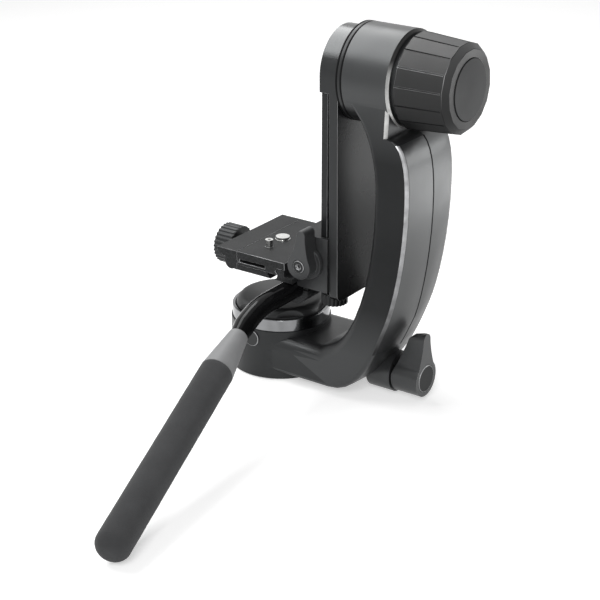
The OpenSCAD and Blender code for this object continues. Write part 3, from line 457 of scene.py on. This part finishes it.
def turned(name, colour, roughness, stretch):
    """Turned or brushed metal with fine lines across the stretched axis."""
    mat, nodes, links, shader, where = new_material(name)
    shader.inputs["Metallic"].default_value = 1.0
    lines = pattern(nodes, links, where, 420.0, 2.0, stretch)
    drift = pattern(nodes, links, where, 60.0, 3.0)
    links.new(tint(nodes, links, drift, colour, 0.08), shader.inputs["Base Color"])
    links.new(
        spread(nodes, links, lines, roughness * 0.75, roughness * 1.35), shader.inputs["Roughness"]
    )
    relief(nodes, links, shader, lines, 0.05, 0.05 * MM)
    return mat


def cellular(name, colour, roughness, cell, strength, specular=0.42, sheen=0.0):
    """Foam or rubber skin with small open cells."""
    mat, nodes, links, shader, where = new_material(name)
    set_specular(nodes, links, shader, where, specular)
    shader.inputs["Sheen Weight"].default_value = sheen
    shader.inputs["Sheen Roughness"].default_value = 0.6
    cells = nodes.new("ShaderNodeTexVoronoi")
    cells.inputs["Scale"].default_value = cell
    links.new(where, cells.inputs["Vector"])
    drift = pattern(nodes, links, where, 55.0, 4.0)
    links.new(tint(nodes, links, drift, colour, 0.18), shader.inputs["Base Color"])
    links.new(
        spread(nodes, links, drift, roughness - 0.06, roughness + 0.05), shader.inputs["Roughness"]
    )
    relief(nodes, links, shader, cells.outputs["Distance"], strength, 0.2 * MM)
    return mat


def make_finishes(p):
    """All finishes by the name of the record's slot or of the piece."""
    return {
        "cast_black": coated("casting_coat", p.casting, 0.36, 1500.0, 0.10, 0.36),
        # Painted highlight: the arm's coat grows glossier low on the foot and high at the barrel, so
        # these parts read brighter
        "arm": coated(
            "arm_coat",
            p.casting,
            0.37,
            1500.0,
            0.10,
            ((0, 0.64), (35, 0.58), (70, 0.18), (170, 0.15), (212, 0.68)),
        ),
        # Painted highlight: the outer back of the arm takes a glossier copy of the coat, glossier
        # towards the top
        "spine": coated(
            "spine_coat",
            p.cover,
            0.38,
            1500.0,
            0.07,
            ((0, 0.18), (45, 0.28), (75, 0.60), (150, 1.0), (180, 1.0)),
            0.12,
        ),
        # Painted highlight: the rear cover's coat grows glossier towards the top
        "cover": coated(
            "cover_coat",
            p.cover,
            0.38,
            1500.0,
            0.07,
            ((0, 0.10), (45, 0.14), (80, 0.36), (125, 0.70), (160, 1.0), (180, 1.0)),
            0.06,
        ),
        # Rubbed bare edges of the machined parts, which also paint their edge highlights
        "edge": wear_and_highlight("worn_edge_and_highlight", p.bare_and_highlight, 0.34),
        # Painted highlight along the arm's front edge, faded out towards the foot
        "arm_edge": wear_and_highlight(
            "arm_edge_highlight",
            p.bare_and_highlight,
            0.34,
            ((0, 0.02), (42, 0.03), (95, 0.75), (130, 1.0), (250, 1.0)),
        ),
        # Painted highlight on the barrel's rim and neck, bright low down and faded out at the top
        "rim": wear_and_highlight(
            "rim_highlight",
            p.steel,
            0.34,
            ((0, 0.65), (205, 0.65), (220, 0.5), (234, 0.03), (250, 0.02)),
        ),
        # Painted highlight: the swing arm's sides grow glossier towards the top
        "panel": coated(
            "panel_skin",
            p.anodised,
            0.27,
            2200.0,
            0.04,
            ((0, 0.12), (195, 0.12), (220, 0.70)),
            uneven=0.01,
        ),
        # Painted shade: the dark strips in the gaps round the end cap and along the arm's seam
        "gap_shade": coated("gap_shade_strip", p.rod, 0.60, 1500.0, 0.10, 0.08),
        "lever": coated("lever_coat", p.lever, 0.36, 1300.0, 0.10, 0.52),
        "plate": coated("plate_coat", p.plate, 0.52, 1100.0, 0.40, 0.20, 0.0, 0.7),
        "dark_anodised": coated(
            "anodised_skin", p.anodised, 0.27, 2200.0, 0.05, 0.28, uneven=0.015
        ),
        "rod": coated("rod_enamel", p.rod, 0.10, 700.0, 0.02, 0.10, 0.02),
        "black_plastic": coated("moulded_plastic", p.plastic, 0.42, 1100.0, 0.16, 0.42),
        # Painted highlight: the knob's rubber grows glossier towards its top
        "knob_rubber": cellular(
            "knob_rubber",
            p.rubber,
            0.50,
            2600.0,
            0.12,
            ((0, 0.24), (205, 0.26), (228, 0.40), (246, 0.80)),
        ),
        # Painted highlight on the knob's panel edges, kept by the height bands to the upper edges
        "knob_edge": wear_and_highlight(
            "knob_edge",
            p.knob_edge,
            0.46,
            ((0, 0.03), (208, 0.03), (222, 0.7), (234, 1.0), (239, 0.03), (250, 0.02)),
        ),
        "knob_cap": coated("cap_plastic", p.plastic, 0.50, 1100.0, 0.16, 0.20),
        "foam_grip": cellular("grip_foam", p.foam, 0.90, 1500.0, 0.45, 0.15, 0.10),
        "grey_plastic": coated("collar_plastic", p.collar, 0.52, 1600.0, 0.06, 0.4),
        "dark_chrome": turned("ring_chrome", p.chrome, 0.10, (1, 1, 0.02)),
        "steel": turned("turned_steel", p.steel, 0.22, (1, 1, 0.05)),
        "black_steel": turned("blacked_steel", p.blacked, 0.36, (1, 1, 0.05)),
        "brass": turned("turned_brass", p.brass, 0.28, (1, 1, 0.05)),
        "friction_grey": cellular("brake_lining", p.lining, 0.85, 1800.0, 0.3),
    }


FINISH = {}
BLACKED = ("cover_screws", "rail_screws", "base_screws")


def finish(slot):
    """Finish by name, made once from the scene's colours."""
    if not FINISH:
        FINISH.update(make_finishes(bpy.context.scene.head_finishes))
    return FINISH[slot]


def dress_node(node, slot):
    """Gives a CAD node its finish."""
    materials = frame["nodes"][node].data.materials
    materials.clear()
    materials.append(finish(slot))


def body_of(node):
    """Body that holds a CAD node."""
    return next(b for b, ns in frame["record"]["behaviour"]["bodies"].items() if node in ns)


def slot_of(node):
    """Record's material slot of a CAD node."""
    return next(s["material_slot"] for s in frame["record"]["subparts"] if s["node"] == node)


def make_object(name, bm, slot, body, look=None):
    """Object at the origin from a bmesh, riding on a body."""
    mesh = bpy.data.meshes.new(name)
    bm.to_mesh(mesh)
    bm.free()
    for extra in ("custom_normal", "sharp_face"):
        if extra in mesh.attributes:
            mesh.attributes.remove(mesh.attributes[extra])
    mesh.materials.append(finish(look or slot))
    obj = bpy.data.objects.new(name, mesh)
    bpy.context.scene.collection.objects.link(obj)
    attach(obj, body)
    return obj


def soft_edges(obj, width, segments=2, angle=28.0, edge=0):
    """Rounds the sharp edges of a piece; edge is the finish slot of the rounded faces."""
    mod = obj.modifiers.new("soft_edges", "BEVEL")
    mod.width = width
    mod.segments = segments
    mod.limit_method = "ANGLE"
    mod.angle_limit = math.radians(angle)
    mod.use_clamp_overlap = True
    mod.material = edge
    mod.harden_normals = False


def flat_faces(obj):
    """Shades wide faces flat and leaves the turn of the light to the rounded faces between them."""
    mod = obj.modifiers.new("flat_faces", "WEIGHTED_NORMAL")
    mod.mode = "FACE_AREA"
    mod.weight = 50
    mod.keep_sharp = True


def merged(node):
    """Copy of a CAD node's mesh with its flat faces made whole."""
    bm = bmesh.new()
    bm.from_mesh(frame["nodes"][node].data)
    bmesh.ops.remove_doubles(bm, verts=bm.verts, dist=WELD)
    bmesh.ops.dissolve_limit(bm, angle_limit=FLAT_ANGLE, verts=bm.verts, edges=bm.edges)
    return bm


def is_soft(line, angle):
    """Whether the faces beside an edge run into each other."""
    return len(line.link_faces) == 2 and line.calc_face_angle() < math.radians(angle)


def skin(node, width, look=None, angle=28.0, segments=2, edge=None, sides=(), least=None):
    """Copy of a CAD node with merged faces, smooth curves and soft edges, shown in its place.

    Each of sides is a finish with a test on a face, for the faces that take it. Edges that turn by
    less than least degrees, if it is given, stay as they are.
    """
    bm = merged(node)
    for face in bm.faces:
        face.material_index = 0
    for number, (_, test) in enumerate(sides, 1):
        for face in bm.faces:
            if test(face.normal, face.calc_center_median() / MM):
                face.material_index = number
    for face in bm.faces:
        face.smooth = True
    for line in bm.edges:
        line.smooth = is_soft(line, angle)
    obj = make_object(node + "_skin", bm, slot_of(node), body_of(node), look)
    for side, _ in sides:
        obj.data.materials.append(finish(side))
    if edge:
        obj.data.materials.append(finish(edge))
    if width > 0:
        soft_edges(obj, width, segments, least or angle, len(sides) + 1 if edge else -1)
    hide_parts(node)
    return obj


def is_rounding(normal):
    """Whether a face lies in the rounding between the arm's front and its back."""
    return -0.93 < normal.y < -0.25


def on_spine(normal, place):
    """Outer back of the arm, which takes a glossier copy of the coat as a painted highlight."""
    return normal.x > 0.6 and place.x > BACK_X and abs(place.y) < 29.0 and 20.0 < place.z < BACK_TOP


def on_rim(normal, place):
    """Edge of the barrel and its neck beside the tilt knob, where a highlight is painted."""
    chamfer = 0.6 < normal.x < 0.8 and RIM_X[0] < place.x < RIM_X[1] and place.z > 180.0
    at_neck = NECK_X[0] < place.x < NECK_X[1] and NECK_Z[0] < place.z < NECK_Z[1]
    return chamfer or (at_neck and normal.x > 0.3 and is_rounding(normal))


def on_drum(normal, place):
    """Round wall of the pan drum."""
    return place.xy.length < 47.0 and place.z < 60.0


def on_swing_front(normal, place):
    """Narrow front of the swing arm, which takes the glossier casting coat as painted light."""
    return normal.y < -0.9 and place.y < -20.0


def on_clamp_front(normal, place):
    """Front of the cradle's block behind the height lever, which takes the lighter lever coat as
    painted light.
    """
    return normal.y < -0.95 and -30.0 < place.y < -26.0 and place.x > 30.0 and place.z > 72.0


def on_front_edge(normal, place):
    """Rounded edge between the arm's front and its back, where a highlight is painted."""
    return is_rounding(normal) and place.x > BACK_X and place.y < -20.0 and 8.0 < place.z < BACK_TOP


class HEAD_OT_castings(bpy.types.Operator):
    """Coats and soft edges of the arm, its cover, the swing arm and the cradle"""

    bl_idname = "head.castings"
    bl_label = "Castings"

    def execute(self, context):
        sizes = context.scene.head_sizes
        sides = (
            ("spine", on_spine),
            ("arm_edge", on_front_edge),
            ("rim", on_rim),
            ("cast_black", on_drum),
        )
        flat_faces(skin("arm_casting", sizes.casting_edge, "arm", sides=sides, least=50.0))
        skin("back_cover", sizes.casting_edge, "cover")
        skin(
            "swing_arm",
            sizes.machined_edge,
            "panel",
            edge="edge",
            sides=(("cast_black", on_swing_front),),
        )
        skin("dovetail_rail", sizes.machined_edge, edge="edge")
        skin("barrel_end_cap", 2 * sizes.machined_edge, edge="edge")
        skin("base_plate", sizes.machined_edge)
        skin(
            "cradle_bracket",
            sizes.machined_edge,
            "plate",
            edge="edge",
            sides=(("lever", on_clamp_front),),
        )
        for node in ("clamp_jaw", "camera_plate"):
            skin(node, sizes.machined_edge, "plate", edge="edge")
        return {"FINISHED"}


class HEAD_OT_levers(bpy.types.Operator):
    """Lock levers and their caps"""

    bl_idname = "head.levers"
    bl_label = "Levers"

    def execute(self, context):
        sizes = context.scene.head_sizes
        skin("pan_lock_lever", LOCK_LEVER_EDGE, "lever", segments=3, edge="edge")
        skin("height_lever", HEIGHT_LEVER_EDGE, "lever", segments=3)
        skin("pan_lever_cap", sizes.machined_edge, "knob_cap", edge="edge")
        skin("height_lever_cap", sizes.machined_edge, edge="edge")
        return {"FINISHED"}


class HEAD_OT_knobs(bpy.types.Operator):
    """Drag knobs, clamp knobs and the trim round them"""

    bl_idname = "head.knobs"
    bl_label = "Knobs"

    def execute(self, context):
        sizes = context.scene.head_sizes
        skin("tilt_drag_knob", TILT_KNOB_EDGE, segments=3, angle=30.0, edge="knob_edge")
        skin("tilt_knob_cap", sizes.machined_edge, "knob_cap")
        skin("pan_drag_knob", PAN_KNOB_EDGE)
        skin("trim_ring", sizes.machined_edge)
        skin("clamp_knob", sizes.machined_edge)
        skin("handle_clamp_knob", sizes.machined_edge)
        skin("drum_plug", sizes.machined_edge, edge="edge")
        return {"FINISHED"}


class HEAD_OT_handle(bpy.types.Operator):
    """Rod and collar of the handle"""

    bl_idname = "head.handle"
    bl_label = "Handle"

    def execute(self, context):
        skin("handle_rod", 0, "rod")
        skin("handle_collar", COLLAR_EDGE)
        return {"FINISHED"}


def outline(bm, points):
    """Row of joined vertices in the XZ plane, ready to spin round Z."""
    verts = [bm.verts.new((r, 0.0, z)) for r, z in points]
    edges = [bm.edges.new(pair) for pair in zip(verts, verts[1:])]
    return verts + edges


def lathe(bm, points, steps):
    """Closed turned form from an outline that starts and ends on the Z axis."""
    geom = outline(bm, points)
    bmesh.ops.spin(
        bm, geom=geom, cent=(0, 0, 0), axis=(0, 0, 1), angle=math.tau, steps=steps, use_merge=True
    )
    bmesh.ops.remove_doubles(bm, verts=bm.verts, dist=LATHE_WELD)
    bmesh.ops.recalc_face_normals(bm, faces=bm.faces)
    for face in bm.faces:
        face.smooth = True


def seam_points():
    """Outer edge of the arm's casting along its cover, from the foot up, with outward directions."""
    bm = merged("arm_casting")
    found = {}
    for vert in bm.verts:
        if abs(vert.co.y) < SEAM_SLACK and vert.co.x > SEAM_LEAST_X:
            outer = [
                f.normal for f in vert.link_faces if on_spine(f.normal, f.calc_center_median() / MM)
            ]
            if outer:
                total = sum(outer, Vector())
                found[vert.co.copy().freeze()] = Vector((total.x, 0.0, total.z)).normalized()
    bm.free()

    def inside(p):
        return any(abs(q.z - p.z) < BOSS_SPAN and q.x > p.x + BOSS_DEPTH for q in found)

    return sorted(
        (item for item in found.items() if not inside(item[0])), key=lambda item: item[0].z
    )


def ring_round_x(bm, x0, x1, outer, inner, height):
    """Flat ring round the tilt axis."""
    verts = [
        bm.verts.new((x, 0.0, height + r))
        for x, r in ((x0, outer), (x1, outer), (x1, inner), (x0, inner))
    ]
    edges = [bm.edges.new((verts[k], verts[k - 1])) for k in range(4)]
    bmesh.ops.spin(
        bm,
        geom=verts + edges,
        cent=(0, 0, height),
        axis=(1, 0, 0),
        angle=math.tau,
        steps=RING_STEPS,
        use_merge=True,
    )


class HEAD_OT_gap_shade(bpy.types.Operator):
    """Dark rubber strips at both ends of the barrel's end cap and along the seam of the arm, which
    paint the shade in these gaps
    """

    bl_idname = "head.seals"
    bl_label = "Seals"

    def execute(self, context):
        sizes = context.scene.head_sizes
        low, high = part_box("barrel_end_cap")
        radius, height = 0.5 * (high[2] - low[2]), 0.5 * (high[2] + low[2])
        bm = bmesh.new()
        for x in (low[0], sizes.gap_shade_place - 0.5 * sizes.gap_shade_width):
            ring_round_x(
                bm,
                x,
                x + sizes.gap_shade_width,
                radius + sizes.gap_shade_stand,
                radius - sizes.gap_shade_depth,
                height,
            )
        bmesh.ops.recalc_face_normals(bm, faces=bm.faces)
        make_object("barrel_gap_shade", bm, "black_plastic", body_of("barrel_end_cap"), "gap_shade")

        bm = bmesh.new()
        half, rows = 0.5 * sizes.gap_shade_width, []
        for place, out in seam_points():
            top, bottom = place + out * sizes.gap_shade_stand, place - out * sizes.gap_shade_depth
            rows.append(
                [
                    bm.verts.new(p + Vector((0, y, 0)))
                    for p, y in ((top, -half), (top, half), (bottom, half), (bottom, -half))
                ],
            )
        if len(rows) < 3:
            raise RuntimeError("the arm's seam was not found")
        for one, two in zip(rows, rows[1:]):
            for k in range(4):
                bm.faces.new((one[k], one[k - 1], two[k - 1], two[k]))
        bm.faces.new(rows[0])
        bm.faces.new(rows[-1][::-1])
        bmesh.ops.recalc_face_normals(bm, faces=bm.faces)
        make_object("arm_seam_shade", bm, "black_plastic", body_of("arm_casting"), "gap_shade")
        return {"FINISHED"}


class HEAD_OT_grip(bpy.types.Operator):
    """Foam grip, turned, rounded at its end and slightly uneven as cut foam is"""

    bl_idname = "head.grip"
    bl_label = "Foam grip"

    def execute(self, context):
        sizes = context.scene.head_sizes
        start, end, r = sizes.grip_start, sizes.grip_start + sizes.grip_length, sizes.grip_radius
        lip, nose, rows = 0.5 * MM, 8.0 * MM, 60
        points = [
            (0.0, start + sizes.grip_depth),
            (sizes.grip_bore, start + sizes.grip_depth),
            (sizes.grip_bore, start),
        ]
        points += [(r - lip, start), (r - 0.3 * lip, start + 0.3 * lip)]
        points += [
            (r, start + lip + (end - nose - start - lip) * k / rows) for k in range(rows + 1)
        ]
        points += [
            (r - nose * (1 - math.cos(a)), end - nose * (1 - math.sin(a)))
            for a in (math.radians(9 * k) for k in range(1, 11))
        ]
        points += [(0.5 * (r - nose), end), (0.0, end)]
        bm = bmesh.new()
        lathe(bm, points, GRIP_STEPS)
        for vert in bm.verts:
            out = Vector((vert.co.x, vert.co.y, 0.0))
            if out.length > 0.6 * r:
                swell = noise.fractal(vert.co * 90.0, 0.9, 2.1, 3) + 0.4 * noise.noise(
                    vert.co * 900.0
                )
                vert.co += out.normalized() * (sizes.foam_relief * (0.5 * swell - 0.5))
        place = (
            Matrix.Translation((sizes.bend_place[0], 0.0, sizes.bend_place[2]))
            @ Matrix.Rotation(-sizes.bend_turn, 4, "Y")
            @ Matrix.Translation((0.0, sizes.bend_place[1], 0.0))
            @ Matrix.Rotation(sizes.bend_angle + math.pi / 2, 4, "X")
        )
        bmesh.ops.transform(bm, matrix=place, verts=bm.verts)
        grip = make_object("foam_grip", bm, "foam_grip", "handle")
        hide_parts("handle_grip")
        return {"FINISHED"}


class HEAD_OT_spring(bpy.types.Operator):
    """Spring under the index pin, on a mesh of its own"""

    bl_idname = "head.spring"
    bl_label = "Index spring"

    def execute(self, context):
        spring = skin("index_spring", 0, "steel", angle=70.0)
        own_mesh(spring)
        return {"FINISHED"}


class HEAD_OT_inner(bpy.types.Operator):
    """Finishes of the pieces that stay as they are in the solids"""

    bl_idname = "head.inner"
    bl_label = "Inner pieces"

    def execute(self, context):
        for node, obj in frame["nodes"].items():
            if not obj.hide_render:
                dress_node(node, "black_steel" if node in BLACKED else slot_of(node))
        return {"FINISHED"}


def lamp(name, place, aim, size, power, turn=0.0):
    """Soft rectangle of light that points at a place, turned round the upright where asked."""
    data = bpy.data.lights.new(name, "AREA")
    data.shape = "RECTANGLE"
    data.size, data.size_y = size
    data.energy = power
    obj = bpy.data.objects.new(name, data)
    obj.location = place
    facing = (Vector(aim) - Vector(place)).to_track_quat("-Z", "Y").to_matrix()
    obj.rotation_euler = (Matrix.Rotation(turn, 3, "Z") @ facing).to_euler()
    obj.visible_camera = False
    bpy.context.scene.collection.objects.link(obj)


def pale_rays(nodes, links):
    """One for rays that come from the camera, a mirror or glass."""
    path = nodes.new("ShaderNodeLightPath")
    first = nodes.new("ShaderNodeMath")
    first.operation = "MAXIMUM"
    links.new(path.outputs["Is Camera Ray"], first.inputs[0])
    links.new(path.outputs["Is Glossy Ray"], first.inputs[1])
    both = nodes.new("ShaderNodeMath")
    both.operation = "MAXIMUM"
    links.new(first.outputs[0], both.inputs[0])
    links.new(path.outputs["Is Transmission Ray"], both.inputs[1])
    return both.outputs[0]


class HEAD_OT_stage(bpy.types.Operator):
    """Floor, lights, world and camera"""

    bl_idname = "head.stage"
    bl_label = "Stage"

    def execute(self, context):
        scene, stage = context.scene, context.scene.head_stage
        scene.view_settings.view_transform = "Standard"
        bm = bmesh.new()
        bmesh.ops.create_grid(bm, x_segments=1, y_segments=1, size=FLOOR_HALF)
        mesh = bpy.data.meshes.new("floor")
        bm.to_mesh(mesh)
        bm.free()
        floor = bpy.data.objects.new("floor", mesh)
        scene.collection.objects.link(floor)
        mat, nodes, links, shader, _ = new_material("floor_paper")
        shader.inputs["Base Color"].default_value = (*stage.floor, 1)
        shader.inputs["Roughness"].default_value = 0.9
        shader.inputs["Specular IOR Level"].default_value = 0.1
        shader.inputs["Emission Color"].default_value = (1, 1, 1, 1)
        glow = nodes.new("ShaderNodeMath")
        glow.operation = "MULTIPLY"
        glow.inputs[1].default_value = FLOOR_GLOW
        links.new(pale_rays(nodes, links), glow.inputs[0])
        links.new(glow.outputs[0], shader.inputs["Emission Strength"])
        mesh.materials.append(mat)

        world = bpy.data.worlds.new("studio")
        world.use_nodes = True
        scene.world = world
        wn, wl = world.node_tree.nodes, world.node_tree.links
        background = wn["Background"]
        background.inputs["Color"].default_value = (1, 1, 1, 1)
        strength = wn.new("ShaderNodeMapRange")
        strength.inputs["To Min"].default_value = WORLD_LIGHT
        strength.inputs["To Max"].default_value = WORLD_SHOWN
        wl.new(pale_rays(wn, wl), strength.inputs["Value"])
        wl.new(strength.outputs["Result"], background.inputs["Strength"])

        lamp("overhead", (-0.50, 0.0, 0.95), (0.08, 0.0, 0.2), (1.5, 0.38), 10.5)
        lamp("front", (0.50, -0.96, 0.75), (0.05, -0.05, 0.08), (0.4, 0.4), 6.0)
        lamp("low", (0.62, 0.64, 0.01), (0.62, 0.64, 1.0), (1.0, 0.40), 2.8, math.radians(49))
        lamp("far", (1.25, 1.35, 0.30), (0.1, 0.0, 0.18), (0.8, 0.4), 3.0)
        lamp("edge", (1.25, -0.80, 0.40), (0.06, 0.0, 0.12), (0.8, 0.2), 1.5)

        data = bpy.data.cameras.new("camera")
        data.lens = stage.lens
        data.sensor_width = SENSOR
        data.clip_start, data.clip_end = 0.05, 50.0
        camera = bpy.data.objects.new("camera", data)
        camera.location = stage.place
        camera.rotation_mode = "QUATERNION"
        camera.rotation_quaternion = (-Vector(stage.back)).to_track_quat("-Z", "Y")
        scene.collection.objects.link(camera)
        scene.camera = camera
        return {"FINISHED"}


class HEAD_PT_panel(bpy.types.Panel):
    """Lists the operators and their settings"""

    bl_idname = "HEAD_PT_panel"
    bl_label = "Fluid head"
    bl_space_type = "VIEW_3D"
    bl_region_type = "UI"
    bl_category = "Fluid head"

    def draw(self, context):
        layout = self.layout
        for group in (
            context.scene.head_finishes, context.scene.head_sizes, context.scene.head_stage
        ):
            box = layout.box()
            for name in group.__annotations__:
                box.prop(group, name)
        for step in STEPS:
            layout.operator(step.bl_idname)


GROUPS = {"head_finishes": HeadFinishes, "head_sizes": HeadSizes, "head_stage": HeadStage}
STEPS = (
    HEAD_OT_stage,
    HEAD_OT_castings,
    HEAD_OT_gap_shade,
    HEAD_OT_levers,
    HEAD_OT_knobs,
    HEAD_OT_handle,
    HEAD_OT_grip,
    HEAD_OT_spring,
    HEAD_OT_inner,
)


def register():
    for name, group in GROUPS.items():
        bpy.utils.register_class(group)
        setattr(bpy.types.Scene, name, bpy.props.PointerProperty(type=group))
    for cls in (*STEPS, HEAD_PT_panel):
        bpy.utils.register_class(cls)


def unregister():
    for cls in (HEAD_PT_panel, *reversed(STEPS)):
        bpy.utils.unregister_class(cls)
    for name, group in GROUPS.items():
        delattr(bpy.types.Scene, name)
        bpy.utils.unregister_class(group)


def main():
    """Builds the whole scene."""
    register()
    bpy.ops.head.stage()
    bpy.ops.head.castings()
    bpy.ops.head.seals()
    bpy.ops.head.levers()
    bpy.ops.head.knobs()
    bpy.ops.head.handle()
    bpy.ops.head.grip()
    bpy.ops.head.spring()
    bpy.ops.head.inner()


if __name__ == "__main__":
    main()
